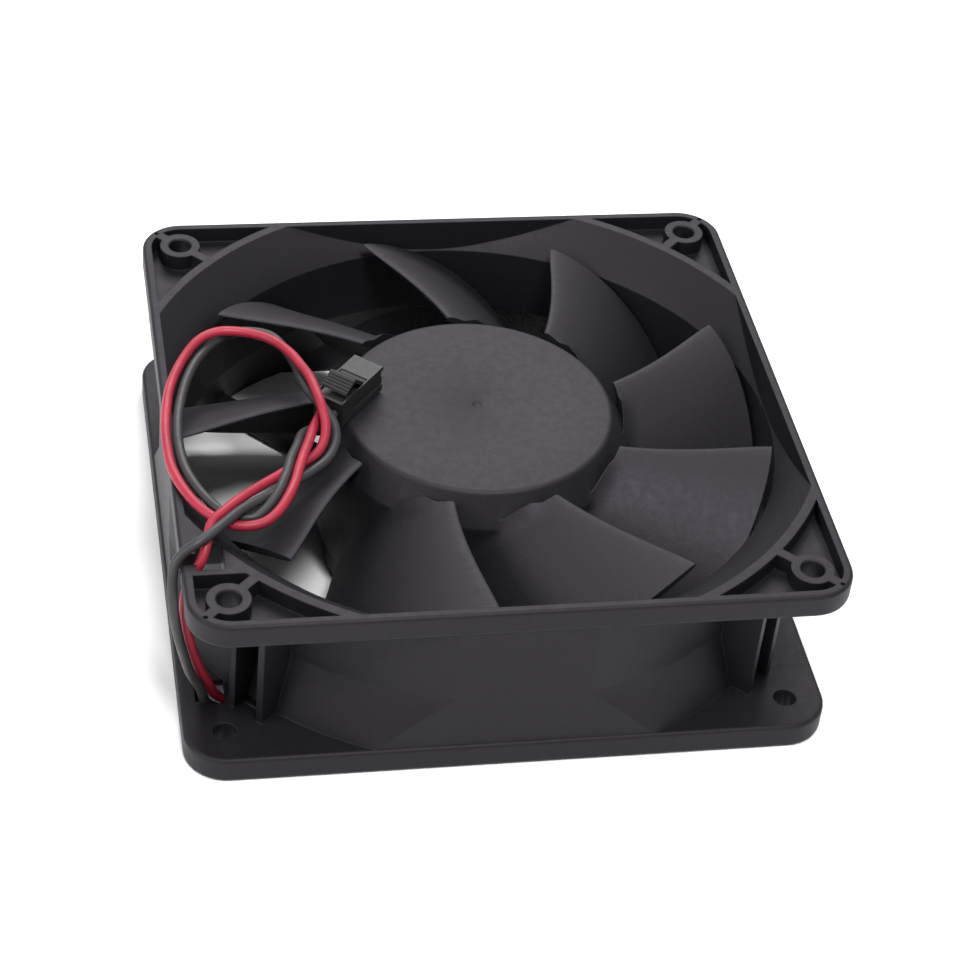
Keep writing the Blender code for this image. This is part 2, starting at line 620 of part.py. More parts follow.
half_l, half_w = PLUG_LEN / 2, PLUG_W / 2
housing = side_profile(
    "connector_housing",
    [(-half_l, 0.3), (-half_l + 0.3, 0), (half_l - 0.3, 0), (half_l, 0.3), (half_l, PLUG_H - 0.3), (half_l - 0.3, PLUG_H), (-half_l + 0.3, PLUG_H), (-half_l, PLUG_H - 0.3)],
    -half_w,
    half_w,
)
cut(housing, block("mouth", (-0.5, half_l + 1), (-2.45, 2.45), (0.9, 3.7)))
for v in (-BORE, BORE):
    wire_bore = lathe("wire_bore", [(0, -half_l - 1), (1.15, -half_l - 1), (1.15, 0.0), (0, 0.0)], 16)
    wire_bore.data.transform(Matrix.Translation(Vector((0, v, BORE_W)) * MM) @ Matrix.Rotation(math.radians(90), 4, "Y"))
    cut(housing, wire_bore)
cut(
    housing,
    block("key_slot", (half_l - 3.2, half_l + 1), (-0.7, 0.7), (-1, 1.2)),
    block("lance_window", (0.8, 2.2), (-2.1, -0.5), (-1, 1.2)),
    block("lance_window", (0.8, 2.2), (0.5, 2.1), (-1, 1.2)),
)
place(smooth(dress(housing, plug_nylon)))

for name, v in (("contact_red", BORE), ("contact_black", -BORE)):
    contact = block(name, (-2.9, -0.8), (v - 0.6, v + 0.6), (BORE_W - 0.6, BORE_W + 0.6))
    join(contact, block("socket", (-0.9, 5.2), (v - 0.8, v + 0.8), (BORE_W - 0.8, BORE_W + 0.8)))
    cut(contact, block("pin_hole", (1.6, 6.0), (v - 0.4, v + 0.4), (BORE_W - 0.4, BORE_W + 0.4)))
    place(dress(contact, tinned))

LATCH_PIVOT = (2.0, PLUG_H + 0.15)
latch = side_profile(
    "connector_latch",
    [
        (6.7, 5.0), (6.7, 5.9), (2.6, 6.1), (-2.9, 6.9), (-3.5, 7.0), (-3.75, 6.75), (-3.6, 6.6), (-4.1, 6.45), (-3.95, 6.3), (-4.45, 6.15),
        (-4.3, 6.0), (-4.8, 5.85), (-4.65, 5.7), (-5.1, 5.5), (-3.0, 5.5), (-2.6, 5.8), (1.2, 5.3), (1.6, 4.75), (2.4, 4.75), (2.6, 5.0),
    ],
    -2.3,
    2.3,
)
place(dress(latch, plug_nylon), in_plug(LATCH_PIVOT[0], 0.0, LATCH_PIVOT[1]))
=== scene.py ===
"""Looks of the square axial fan: detailed frame, impeller, leads and connector on
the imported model, with node-based materials, a pale floor and soft studio light."""

import json
import math

import bmesh
import bpy
from mathutils import Matrix, Vector

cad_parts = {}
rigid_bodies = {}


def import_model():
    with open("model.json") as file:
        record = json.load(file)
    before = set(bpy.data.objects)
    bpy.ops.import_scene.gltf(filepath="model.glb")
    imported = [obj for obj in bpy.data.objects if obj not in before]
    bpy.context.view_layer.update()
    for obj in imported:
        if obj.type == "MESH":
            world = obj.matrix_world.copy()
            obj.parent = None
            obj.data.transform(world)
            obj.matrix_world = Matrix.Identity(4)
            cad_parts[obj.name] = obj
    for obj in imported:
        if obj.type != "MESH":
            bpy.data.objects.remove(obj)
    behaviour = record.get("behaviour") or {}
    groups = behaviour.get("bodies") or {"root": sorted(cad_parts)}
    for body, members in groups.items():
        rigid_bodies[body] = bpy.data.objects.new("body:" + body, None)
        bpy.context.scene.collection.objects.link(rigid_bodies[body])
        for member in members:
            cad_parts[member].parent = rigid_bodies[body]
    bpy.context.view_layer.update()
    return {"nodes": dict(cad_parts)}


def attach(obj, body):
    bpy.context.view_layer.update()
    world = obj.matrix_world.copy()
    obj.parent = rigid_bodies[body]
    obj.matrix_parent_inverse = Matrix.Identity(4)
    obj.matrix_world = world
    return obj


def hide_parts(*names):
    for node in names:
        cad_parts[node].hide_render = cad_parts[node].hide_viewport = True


for old in list(bpy.data.objects):
    bpy.data.objects.remove(old, do_unlink=True)

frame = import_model()
nodes = frame["nodes"]
scene = bpy.context.scene

MM = 0.001

# ---------------------------------------------------------------- dimensions
SIDE = 120.0  # square frame, edge to edge
DEPTH = 38.0  # intake face to exhaust face
CORNER_R = 8.0
HOLE_PITCH = 105.0
HOLE_R = 2.15
BOSS_R = 4.0
TOP_FLANGE = 5.0
BOTTOM_FLANGE = 5.3
POCKET = 3.3  # depth of the cored-out corner pockets
RIM = 1.8  # wall around the pockets
LIP_IN, LIP_OUT = 65.5, 67.3  # ring round the mouth of the duct
THROAT_R = 58.0
INNER_FLAT = 58.2
SIDE_PANEL = 59.5
DUCT_R = 60.8
INTAKE_FLARE, EXHAUST_FLARE = 7.0, 17.0
RIB_OFF, RIB_T, RIB_END = 3.2, 1.4, 68.5  # pairs of ribs in the open corners

TIP_R = 56.9
HUB_TOP = 36.4
HUB_LOW = 7.6
CAP_R = 26.1
SKIRT_R = 29.5
SKIRT_Z = 30.2
BLADES = 9
BLADE_T = 1.7

SHAFT_R = 1.95
BALL_RING_R, BALL_R, BALLS = 3.8, 0.55, 7
LOW_BEARING, HIGH_BEARING, BEARING_W = 3.1, 25.0, 4.0

LEAD_R = 0.95
PLUG_LEN, PLUG_W, PLUG_H = 14.0, 6.4, 4.6
PLUG_AT = (-24.0, 2.6)  # middle of the connector, in plan
PLUG_TURN = 50.0  # its axis, from the wires to the mouth
PLUG_Z = HUB_TOP + 0.35




def solid(name, points, faces, mat=None):
    """One object from points in mm and faces, with its faces turned outwards."""
    mesh = bpy.data.meshes.new(name)
    bm = bmesh.new()
    made = [bm.verts.new(Vector(p) * MM) for p in points]
    for f in faces:
        bm.faces.new([made[i] for i in f])
    bmesh.ops.recalc_face_normals(bm, faces=bm.faces)
    bm.to_mesh(mesh)
    bm.free()
    obj = bpy.data.objects.new(name, mesh)
    bpy.context.scene.collection.objects.link(obj)
    if mat:
        mesh.materials.append(mat)
    return obj


def lathe(name, profile, n, mat=None, phase=0.0):
    """A closed (r, z) outline turned about Z. A point at r = 0 lies on the axis."""
    points, rings = [], []
    for r, z in profile:
        if r == 0:
            rings.append([len(points)] * n)
            points.append((0, 0, z))
        else:
            rings.append(list(range(len(points), len(points) + n)))
            for k in range(n):
                a = math.tau * (k + phase) / n
                points.append((r * math.cos(a), r * math.sin(a), z))
    faces = []
    for i, ring in enumerate(rings):
        other = rings[(i + 1) % len(rings)]
        for k in range(n):
            j = (k + 1) % n
            face = []
            for v in (ring[k], ring[j], other[j], other[k]):
                if v not in face:
                    face.append(v)
            if len(face) > 2:
                faces.append(face)
    return solid(name, points, faces, mat)


def tube(name, r0, r1, z0, z1, n, mat=None, phase=0.0):
    return lathe(name, [(r0, z0), (r1, z0), (r1, z1), (r0, z1)], n, mat, phase)


def disc(name, r, z0, z1, n, mat=None, at=(0, 0)):
    obj = lathe(name, [(0, z0), (r, z0), (r, z1), (0, z1)], n, mat)
    move(obj, (at[0], at[1], 0))
    return obj


def prism(name, outline, z0, z1, mat=None):
    n = len(outline)
    points = [(x, y, z0) for x, y in outline] + [(x, y, z1) for x, y in outline]
    faces = [list(range(n)), list(range(n, 2 * n))]
    faces += [[k, (k + 1) % n, n + (k + 1) % n, n + k] for k in range(n)]
    return solid(name, points, faces, mat)


def block(name, x, y, z, mat=None):
    return prism(name, [(x[0], y[0]), (x[1], y[0]), (x[1], y[1]), (x[0], y[1])], z[0], z[1], mat)


def rounded(half, r, n=6):
    """Outline of a rounded square."""
    out = []
    for q in range(4):
        cx, cy = ((1, 1), (-1, 1), (-1, -1), (1, -1))[q]
        for k in range(n + 1):
            a = math.radians(90 * (q + k / n))
            out.append((cx * (half - r) + r * math.cos(a), cy * (half - r) + r * math.sin(a)))
    return out


def move(obj, offset=(0, 0, 0), turn=0.0, axis="Z"):
    """Turns about the origin and then shifts the mesh itself."""
    obj.data.transform(Matrix.Translation(Vector(offset) * MM) @ Matrix.Rotation(math.radians(turn), 4, axis))
    return obj


def combine(a, b, how):
    """Boolean of a with b, kept as a's mesh; b goes."""
    step = a.modifiers.new(how, "BOOLEAN")
    step.operation = how
    step.solver = "EXACT"
    step.object = b
    graph = bpy.context.evaluated_depsgraph_get()
    made = bpy.data.meshes.new_from_object(a.evaluated_get(graph))
    a.modifiers.clear()
    a.data = made
    bpy.data.objects.remove(b, do_unlink=True)
    return a


def cut(a, *tools):
    for tool in tools:
        combine(a, tool, "DIFFERENCE")
    return a


def join(a, *others):
    for other in others:
        combine(a, other, "UNION")
    return a


def smooth(obj, angle=35):
    obj.data.shade_smooth()
    obj.data.set_sharp_from_angle(angle=math.radians(angle))
    return obj


def dress(obj, mat):
    obj.data.materials.clear()
    obj.data.materials.append(mat)
    return obj




U = (math.cos(math.radians(PLUG_TURN)), math.sin(math.radians(PLUG_TURN)))
V = (-U[1], U[0])
BORE, BORE_W = 1.25, 2.3


def in_plug(u, v, w):
    return (PLUG_AT[0] + u * U[0] + v * V[0], PLUG_AT[1] + u * U[1] + v * V[1], PLUG_Z + w)


RED_ROUTE = [
    (-15.7, -14.2, 5.6), (-16.2, -14.8, 4.2), (-18.1, -16.6, 2.6), (-21.2, -19.8, 2.2), (-29.0, -27.5, 2.2),
    (-36.1, -34.6, 2.2), (-39.8, -38.0, 2.2), (-43.6, -40.4, 2.2), (-48.5, -41.2, 2.2), (-51.6, -41.4, 2.6),
    (-53.6, -41.6, 4.6), (-54.6, -41.9, 7.5), (-56.5, -42.7, 12.5), (-58.0, -43.5, 18.5), (-59.0, -43.9, 24.0),
    (-59.3, -43.4, 29.0), (-58.4, -42.0, 33.0), (-57.4, -41.9, 35.0), (-56.1, -41.2, 37.1), (-55.2, -39.2, 38.9),
    (-54.0, -35.5, 40.5), (-51.5, -33.0, 41.1), (-48.8, -30.1, 41.0), (-44.8, -25.8, 40.0), (-40.9, -21.7, 38.9),
    (-38.9, -19.6, 38.4), (-35.7, -17.4, 38.2), (-32.7, -15.2, 38.7), (-31.1, -12.5, 39.7), (-30.6, -9.8, 41.1),
    (-31.0, -6.6, 42.7), (-31.6, -3.0, 43.3), (-32.2, 1.4, 43.1), (-33.2, 6.6, 42.0), (-35.0, 12.2, 41.2),
    (-38.3, 16.9, 40.9), (-43.0, 19.2, 40.9), (-47.8, 19.5, 41.0), (-51.8, 17.6, 40.5), (-55.3, 13.0, 39.3),
    (-58.1, 5.6, 39.0), (-59.5, -2.3, 39.0), (-60.0, -8.2, 39.0), (-60.0, -13.0, 39.0), (-59.7, -17.6, 39.0),
    (-58.5, -22.6, 39.0), (-56.7, -27.2, 39.0), (-54.5, -30.8, 39.0), (-51.4, -33.8, 39.0), (-47.8, -35.0, 39.0),
    (-44.4, -34.4, 39.2), (-41.6, -32.2, 39.9), (-39.5, -28.9, 40.5), (-38.0, -25.4, 40.7), (-36.9, -21.8, 40.7),
    (-35.6, -17.8, 40.6), (-34.0, -13.3, 40.3), (-32.7, -9.0, 39.6), (-31.4, -5.7, 39.1),
    in_plug(-8.3, BORE, BORE_W), in_plug(-6.6, BORE, BORE_W), in_plug(-3.2, BORE, BORE_W),
]
BLACK_ROUTE = [
    (-14.2, -15.7, 5.6), (-14.8, -16.2, 4.2), (-16.6, -18.1, 2.6), (-19.8, -21.2, 2.2), (-27.5, -29.0, 2.2),
    (-34.6, -36.1, 2.2), (-38.6, -40.1, 2.2), (-43.0, -42.8, 2.2), (-48.5, -43.4, 2.2), (-53.0, -43.6, 2.5),
    (-55.3, -43.7, 4.6), (-56.2, -43.7, 8.0), (-58.2, -44.5, 13.0), (-59.5, -45.3, 18.5), (-60.6, -46.0, 24.0),
    (-61.4, -46.0, 30.0), (-61.5, -44.0, 34.6), (-60.9, -42.2, 37.3), (-59.2, -41.4, 39.3), (-56.8, -40.6, 40.6),
    (-53.8, -38.5, 41.3), (-51.0, -35.6, 41.3), (-48.6, -33.1, 41.2), (-45.4, -29.8, 40.2), (-42.6, -26.8, 38.9),
    (-40.0, -24.3, 38.3), (-37.2, -21.9, 38.0), (-34.2, -19.4, 37.8), (-31.0, -16.2, 37.8), (-29.0, -12.4, 38.5),
    (-28.8, -8.9, 39.8), (-30.3, -5.5, 41.2), (-31.9, -1.8, 41.1), (-33.0, 2.2, 40.6), (-33.6, 7.6, 39.7),
    (-34.7, 14.0, 39.0), (-37.4, 20.2, 38.9), (-42.6, 22.2, 38.8), (-47.0, 20.6, 38.8), (-50.6, 16.6, 38.8),
    (-53.4, 11.5, 38.9), (-55.6, 5.0, 39.0), (-57.2, -2.4, 39.0), (-57.8, -8.3, 39.0), (-57.8, -13.1, 39.0),
    (-57.2, -18.4, 39.0), (-55.8, -23.2, 39.0), (-54.0, -27.2, 39.0), (-51.8, -30.6, 39.0), (-49.2, -32.3, 39.0),
    (-46.2, -32.7, 39.0), (-43.8, -31.1, 39.5), (-41.5, -28.2, 40.4), (-40.1, -25.1, 40.8), (-39.0, -22.0, 40.6),
    (-38.0, -18.4, 40.3), (-36.4, -14.3, 39.8), (-35.3, -10.6, 38.8), (-34.2, -8.0, 37.7), (-32.6, -6.6, 37.1),
    (-30.9, -6.4, 37.1), (-29.3, -6.0, 37.9), in_plug(-8.3, -BORE, BORE_W), in_plug(-6.6, -BORE, BORE_W), in_plug(-3.2, -BORE, BORE_W),
]


def smooth_route(points, step, per=12):
    """A Catmull-Rom curve through the points, cut into equal steps."""
    dense = []
    for i in range(len(points) - 1):
        p0, p1, p2, p3 = (Vector(points[min(max(i + k, 0), len(points) - 1)]) for k in (-1, 0, 1, 2))
        for k in range(per):
            t = k / per
            dense.append(0.5 * (2 * p1 + (p2 - p0) * t + (2 * p0 - 5 * p1 + 4 * p2 - p3) * t * t + (3 * p1 - p0 - 3 * p2 + p3) * t ** 3))
    dense.append(Vector(points[-1]))
    length = [0.0]
    for a, b in zip(dense, dense[1:]):
        length.append(length[-1] + (b - a).length)
    count = round(length[-1] / step)
    out, j = [], 0
    for k in range(count + 1):
        want = length[-1] * k / count
        while j < len(length) - 2 and length[j + 1] < want:
            j += 1
        f = (want - length[j]) / max(length[j + 1] - length[j], 1e-9)
        out.append(dense[j].lerp(dense[j + 1], min(f, 1.0)))
    return out



# ------------------------------------------------------------------- camera
camera_data = bpy.data.cameras.new("camera")
camera_data.sensor_width = 36.0
camera_data.lens = 99.75
camera_data.clip_start, camera_data.clip_end = 0.01, 20.0
camera = bpy.data.objects.new("camera", camera_data)
scene.collection.objects.link(camera)
camera.matrix_world = Matrix(
    (
        (0.98282, 0.04312, -0.17946, -0.09139),
        (-0.16446, 0.64592, -0.74548, -0.38861),
        (0.08377, 0.76219, 0.64191, 0.35188),
        (0.0, 0.0, 0.0, 1.0),
    )
)
scene.camera = camera
scene.view_settings.view_transform = "Standard"


# ---------------------------------------------------------------- materials
class Nodes:
    """A short way to wire up a node material."""

    def __init__(self, name, colour=(0.5, 0.5, 0.5), roughness=0.5, metallic=0.0, specular=0.5, gloss=(1.0, 1.0, 1.0)):
        self.material = bpy.data.materials.new(name)
        self.material.use_nodes = True
        self.tree = self.material.node_tree
        self.shader = self.tree.nodes["Principled BSDF"]
        self.shader.inputs["Base Color"].default_value = (*colour, 1.0)
        self.shader.inputs["Roughness"].default_value = roughness
        self.shader.inputs["Metallic"].default_value = metallic
        self.shader.inputs["Specular IOR Level"].default_value = specular
        self.shader.inputs["Specular Tint"].default_value = (*gloss, 1.0)
        self.place = self.add("ShaderNodeTexCoord").outputs["Object"]

    def add(self, kind, **inputs):
        node = self.tree.nodes.new(kind)
        for key, value in inputs.items():
            node.inputs[key.replace("_", " ")].default_value = value
        return node

    def link(self, a, b):
        self.tree.links.new(a, b)

    def noise(self, scale, detail=3.0, rough=0.55):
        node = self.add("ShaderNodeTexNoise", Scale=scale, Detail=detail, Roughness=rough)
        self.link(self.place, node.inputs["Vector"])
        return node.outputs["Fac"]

    def ramp(self, value, low, high, a, b):
        node = self.add("ShaderNodeMapRange")
        node.inputs["From Min"].default_value = low
        node.inputs["From Max"].default_value = high
        node.inputs["To Min"].default_value = a
        node.inputs["To Max"].default_value = b
        self.link(value, node.inputs["Value"])
        return node.outputs["Result"]

    def tint(self, value, dark, light):
        node = self.tree.nodes.new("ShaderNodeMix")
        node.data_type = "RGBA"
        node.inputs["A"].default_value = (*dark, 1.0)
        node.inputs["B"].default_value = (*light, 1.0)
        self.link(value, node.inputs["Factor"])
        return node.outputs["Result"]

    def bump(self, value, strength, distance, normal=None):
        node = self.add("ShaderNodeBump", Strength=strength, Distance=distance)
        self.link(value, node.inputs["Height"])
        if normal:
            self.link(normal, node.inputs["Normal"])
        return node.outputs["Normal"]

    def edge(self, radius, samples=6):
        node = self.tree.nodes.new("ShaderNodeBevel")
        node.samples = samples
        node.inputs["Radius"].default_value = radius
        return node.outputs["Normal"]


def moulded(name, dark, light, rough, grain=1.0, edge=0.00035, specular=0.5, gloss=(1.0, 1.0, 1.0)):
    """Moulded plastic: fine spark-eroded grain, faint flow marks, worn and rounded edges."""
    m = Nodes(name, light, rough, specular=specular, gloss=gloss)
    broad = m.ramp(m.noise(22.0, 6.0, 0.7), 0.3, 0.7, 0.0, 1.0)
    fine = m.noise(1900.0, 2.0, 0.6)
    specks = m.ramp(m.noise(900.0, 3.0, 0.7), 0.62, 0.8, 0.0, 1.0)
    colour = m.tint(broad, dark, light)
    mix = m.tree.nodes.new("ShaderNodeMix")
    mix.data_type = "RGBA"
    mix.inputs["B"].default_value = (*[min(1.0, c * 1.7) for c in light], 1.0)
    m.link(colour, mix.inputs["A"])
    m.link(specks, mix.inputs["Factor"])
    m.link(mix.outputs["Result"], m.shader.inputs["Base Color"])
    m.link(m.ramp(m.noise(700.0, 3.0, 0.6), 0.3, 0.7, rough - 0.03, rough + 0.04), m.shader.inputs["Roughness"])
    normal = m.edge(edge) if edge else None
    normal = m.bump(fine, 0.3 * grain, 0.00008, normal)
    m.link(normal, m.shader.inputs["Normal"])
    return m.material


def insulation(name, dark, light, rough):
    """Extruded PVC: even colour, slight waviness along the wire."""
    m = Nodes(name, light, rough, specular=0.36)
    m.link(m.tint(m.ramp(m.noise(120.0, 4.0, 0.6), 0.3, 0.7, 0.0, 1.0), dark, light), m.shader.inputs["Base Color"])
    m.link(m.ramp(m.noise(500.0, 3.0), 0.3, 0.7, rough - 0.06, rough + 0.1), m.shader.inputs["Roughness"])
    m.link(m.bump(m.noise(700.0, 3.0), 0.12, 0.0001), m.shader.inputs["Normal"])
    m.shader.inputs["Coat Weight"].default_value = 0.05
    m.shader.inputs["Coat Roughness"].default_value = 0.35
    return m.material


def metal(name, dark, light, rough, stretch=(1.0, 1.0, 14.0), scale=260.0):
    """Turned, ground or plated metal: fine lines and slight tarnish."""
    m = Nodes(name, light, rough, 1.0)
    mapping = m.add("ShaderNodeMapping")
    mapping.inputs["Scale"].default_value = stretch
    m.link(m.place, mapping.inputs["Vector"])
    lines = m.add("ShaderNodeTexNoise", Scale=scale, Detail=3.0)
    m.link(mapping.outputs["Vector"], lines.inputs["Vector"])
    m.link(m.tint(m.ramp(m.noise(90.0, 4.0), 0.35, 0.7, 0.0, 1.0), dark, light), m.shader.inputs["Base Color"])
    m.link(m.ramp(lines.outputs["Fac"], 0.3, 0.7, rough - 0.08, rough + 0.1), m.shader.inputs["Roughness"])
    m.link(m.bump(lines.outputs["Fac"], 0.12, 0.00005), m.shader.inputs["Normal"])
    return m.material


def layered(name, dark, light, rough, pitch, metallic=0.0):
    """Thin layers stacked along Z, such as laminations or turns of wire."""
    m = Nodes(name, light, rough, metallic)
    split = m.add("ShaderNodeSeparateXYZ")
    m.link(m.place, split.inputs["Vector"])
    turns = m.tree.nodes.new("ShaderNodeMath")
    turns.operation = "MULTIPLY"
    turns.inputs[1].default_value = math.tau / pitch
    m.link(split.outputs["Z"], turns.inputs[0])
    wave = m.tree.nodes.new("ShaderNodeMath")
    wave.operation = "SINE"
    m.link(turns.outputs[0], wave.inputs[0])
    value = m.ramp(wave.outputs[0], -1.0, 1.0, 0.0, 1.0)
    m.link(m.tint(value, dark, light), m.shader.inputs["Base Color"])
    m.link(m.ramp(m.noise(300.0), 0.3, 0.7, rough - 0.05, rough + 0.08), m.shader.inputs["Roughness"])
    m.link(m.bump(value, 0.5, pitch * 0.3), m.shader.inputs["Normal"])
    return m.material


VIOLET = (0.93, 0.87, 1.0)
FRAME_DARK, FRAME_LIGHT = (0.006, 0.0055, 0.0068), (0.0076, 0.007, 0.0086)
frame_mat = moulded("frame_moulded", FRAME_DARK, FRAME_LIGHT, 0.52, 1.0, specular=0.28, gloss=VIOLET)
rotor_mat = moulded("impeller_moulded", (0.0078, 0.0072, 0.0088), (0.0096, 0.0089, 0.0108), 0.58, 1.3, 0.0003, specular=0.38, gloss=VIOLET)
plug_mat = moulded("plug_moulded", (0.014, 0.014, 0.015), (0.019, 0.019, 0.02), 0.42, 0.5, 0.00012, specular=0.32)
red_mat = insulation("red_pvc", (0.26, 0.012, 0.03), (0.37, 0.02, 0.045), 0.45)
black_mat = insulation("black_pvc", (0.026, 0.025, 0.027), (0.038, 0.036, 0.039), 0.45)
steel_mat = metal("ground_steel", (0.42, 0.42, 0.43), (0.58, 0.58, 0.59), 0.28)
yoke_mat = metal("plated_steel", (0.4, 0.41, 0.42), (0.55, 0.56, 0.57), 0.38)
brass_mat = metal("turned_brass", (0.55, 0.38, 0.14), (0.74, 0.55, 0.26), 0.32)
tin_mat = metal("tinned_contact", (0.55, 0.53, 0.47), (0.74, 0.72, 0.66), 0.28)
core_mat = layered("lamination_stack", (0.14, 0.145, 0.16), (0.34, 0.35, 0.37), 0.45, 0.0005, 1.0)
coil_mat = layered("wound_copper", (0.25, 0.07, 0.02), (0.66, 0.26, 0.09), 0.3, 0.0004, 0.9)
ferrite_mat = moulded("sintered_ferrite", (0.03, 0.029, 0.028), (0.055, 0.053, 0.052), 0.65, 1.5, 0.0002)
nylon_mat = moulded("natural_nylon_grain", (0.62, 0.6, 0.52), (0.76, 0.74, 0.67), 0.45, 0.5, 0.0002)
board_mat = moulded("solder_resist", (0.015, 0.1, 0.045), (0.03, 0.17, 0.075), 0.35, 0.6, 0.0001)
epoxy_mat = moulded("moulded_epoxy", (0.014, 0.014, 0.014), (0.022, 0.022, 0.022), 0.45, 0.8, 0.0001)
chip_mat = moulded("fired_ceramic", (0.32, 0.22, 0.12), (0.47, 0.35, 0.22), 0.4, 0.6, 0.0001)
label_mat = moulded("blank_label", (0.5, 0.51, 0.52), (0.62, 0.63, 0.64), 0.32, 0.3, 0.0001)

inner = {
    "bearing_tube": brass_mat,
    "shaft_insert": brass_mat,
    "rotor_yoke": yoke_mat,
    "magnet_ring": ferrite_mat,
    "thrust_washer": nylon_mat,
    "stator_core": core_mat,
    "stator_insulator_lower": nylon_mat,
    "stator_insulator_upper": nylon_mat,
    "circuit_board": board_mat,
    "driver_chip": epoxy_mat,
    "hall_sensor": epoxy_mat,
    "protection_diode": epoxy_mat,
    "board_capacitor": chip_mat,
    "board_resistor": chip_mat,
    "rear_label": label_mat,
    "contact_red": tin_mat,
    "contact_black": tin_mat,
}
for name, node in nodes.items():
    mat = inner.get(name) or (coil_mat if name.startswith("coil_") else steel_mat)
    node.data.materials.clear()
    node.data.materials.append(mat)


def show(obj, body, node, mat, angle=30):
    """The piece stands for the node, rides on its body and is smooth between its real edges."""
    dress(obj, mat)
    obj.data.shade_smooth()
    obj.data.set_sharp_from_angle(angle=math.radians(angle))
    obj.name = obj.data.name = node + "_look"
    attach(obj, body)
    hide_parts(node)
    return obj


# -------------------------------------------------------------------- leads
def lead(name, route, mat):
    points = smooth_route(route[:-2], 1.0) + [Vector(p) for p in route[-2:]]
    curve = bpy.data.curves.new(name, "CURVE")
    curve.dimensions = "3D"
    curve.bevel_depth = LEAD_R * 0.985 * MM
    curve.bevel_resolution = 4
    curve.use_fill_caps = True
    line = curve.splines.new("POLY")
    line.points.add(len(points) - 1)
    for spot, p in zip(line.points, points):
        spot.co = (*(p * MM), 1)
    line.use_smooth = True
    curve.materials.append(mat)
    obj = bpy.data.objects.new(name + "_look", curve)
    scene.collection.objects.link(obj)
    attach(obj, "frame")
    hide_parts(name)
    return obj


# ------------------------------------------------------------- frame, in detail
HALF = SIDE / 2
HOLE = HOLE_PITCH / 2
CORNERS = [(1, 1, 0), (-1, 1, 90), (-1, -1, 180), (1, -1, 270)]
FINE = 160


def slab(name, z0, z1, fillet, n=10, steps=3):
    """A flange with its outer edges rounded off."""
    low = [(z0 + fillet * (1 - math.sin(math.radians(90 * k / steps))), fillet * (1 - math.cos(math.radians(90 * k / steps)))) for k in range(steps, -1, -1)]
    high = [(z0 + z1 - z, i) for z, i in reversed(low)]
    rings = low + high
    count = 4 * (n + 1)
    points, faces = [], []
    for z, inset in rings:
        points += [(x, y, z) for x, y in rounded(HALF - inset, CORNER_R - inset, n)]
    faces.append(list(range(count)))
    faces.append(list(range((len(rings) - 1) * count, len(rings) * count)))
    for i in range(len(rings) - 1):
        for k in range(count):
            j = (k + 1) % count
            faces.append([i * count + k, i * count + j, (i + 1) * count + j, (i + 1) * count + k])
    return solid(name, points, faces)


body = slab("fan_frame_fine", DEPTH - TOP_FLANGE, DEPTH, 0.7)
join(body, slab("bottom_flange", 0.0, BOTTOM_FLANGE, 0.7))
duct = lathe(
    "duct",
    [(40.0, 1.0), (66.0, 1.0), (64.9, BOTTOM_FLANGE - 0.3), (63.6, 8.4), (62.3, 12.0), (61.2, 15.0), (DUCT_R, EXHAUST_FLARE), (DUCT_R, DEPTH - 1.0), (40.0, DEPTH - 1.0)],
    FINE,
)
combine(duct, block("panel", (-SIDE_PANEL, SIDE_PANEL), (-SIDE_PANEL, SIDE_PANEL), (-2, 40)), "INTERSECT")
join(body, duct)
for sx, sy, turn in CORNERS:
    for side in (-1, 1):
        y = side * RIB_OFF
        rib = block("rib", (59.0, RIB_END), (y - RIB_T / 2, y + RIB_T / 2), (BOTTOM_FLANGE - 1, DEPTH - TOP_FLANGE + 1))
        join(body, move(rib, turn=turn + 45))
flare = [(0, -1.0), (LIP_IN + 0.44, -1.0)]
for k in range(5):
    f = k / 4
    flare.append((LIP_IN + (THROAT_R - LIP_IN) * f**0.85, EXHAUST_FLARE * f))
for k in range(5):
    f = k / 4
    flare.append((THROAT_R + (LIP_IN - THROAT_R) * f**1.15, DEPTH - INTAKE_FLARE + INTAKE_FLARE * f))
flare += [(LIP_IN + 1.07, DEPTH + 1.0), (0, DEPTH + 1.0)]
bore = lathe("bore", flare, FINE)
combine(bore, block("flats", (-INNER_FLAT, INNER_FLAT), (-INNER_FLAT, INNER_FLAT), (-3, 42)), "INTERSECT")
cut(body, bore)


def pocket(turn, z0, z1, wire_wall=False):
    """Cutter for the cored pocket of one corner, leaving the screw boss and its webs."""
    inner, r = HALF - RIM, CORNER_R - RIM
    outline = [(30.0, 30.0), (inner, 30.0)]
    for k in range(11):
        a = math.radians(90 * k / 10)
        outline.append((inner - r + r * math.cos(a), inner - r + r * math.sin(a)))
    outline.append((30.0, inner))
    tool = prism("pocket", outline, z0, z1)
    cut(
        tool,
        disc("ring", LIP_OUT, z0 - 1, z1 + 1, FINE),
        disc("boss", BOSS_R, z0 - 1, z1 + 1, 40, at=(HOLE, HOLE)),
        move(block("web", (60.0, 84.0), (-1.0, 1.0), (z0 - 1, z1 + 1)), turn=45),
    )
    move(tool, turn=turn)
    if wire_wall:
        cut(tool, block("wire_wall", (-62, -30), (-46.2, -30), (z0 - 2, z1 + 2)))
    return tool


def countersink(x, y, z, up):
    """Softens the mouth of a screw hole."""
    s = 1 if up else -1
    tool = lathe("mouth", [(0, z + s * 0.5), (HOLE_R + 0.75, z + s * 0.5), (HOLE_R - 0.05, z - s * 0.3), (0, z - s * 0.3)], 40)
    return move(tool, (x, y, 0))


